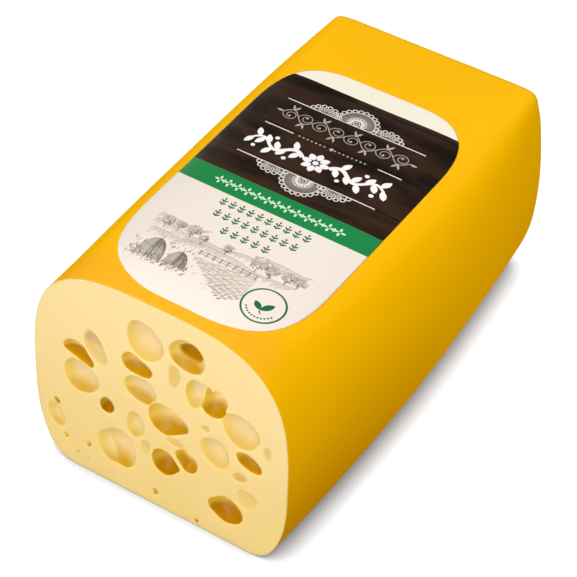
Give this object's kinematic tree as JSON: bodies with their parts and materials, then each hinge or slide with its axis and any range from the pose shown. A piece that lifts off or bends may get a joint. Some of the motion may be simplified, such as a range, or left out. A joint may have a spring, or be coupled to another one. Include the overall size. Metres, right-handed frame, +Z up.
{
  "type": "semi-hard cheese",
  "caption": "Half loaf of semi-hard cheese with round eyes in its cut face, lying in a close yellow film with a printed label on its domed crown.",
  "frame": {"origin": "on the table, under the middle of the part's bounding box", "axes": "+Z up from the base, +Y along the loaf from the cut face to the far end, +X to the right as seen facing the cut"},
  "size_m": [0.1118, 0.187, 0.1002],
  "materials": {
    "paste": "smooth moist cheese paste, pale butter yellow, with glossy golden eyes",
    "film": "close golden yellow film, satin",
    "label_print": "cream label with dark wood-grain field, green band and fine ornament, satin print"
  },
  "bodies": {
    "root": {"cheese": "paste", "wrap": "film", "label": "label_print"}
  },
  "joints": []
}
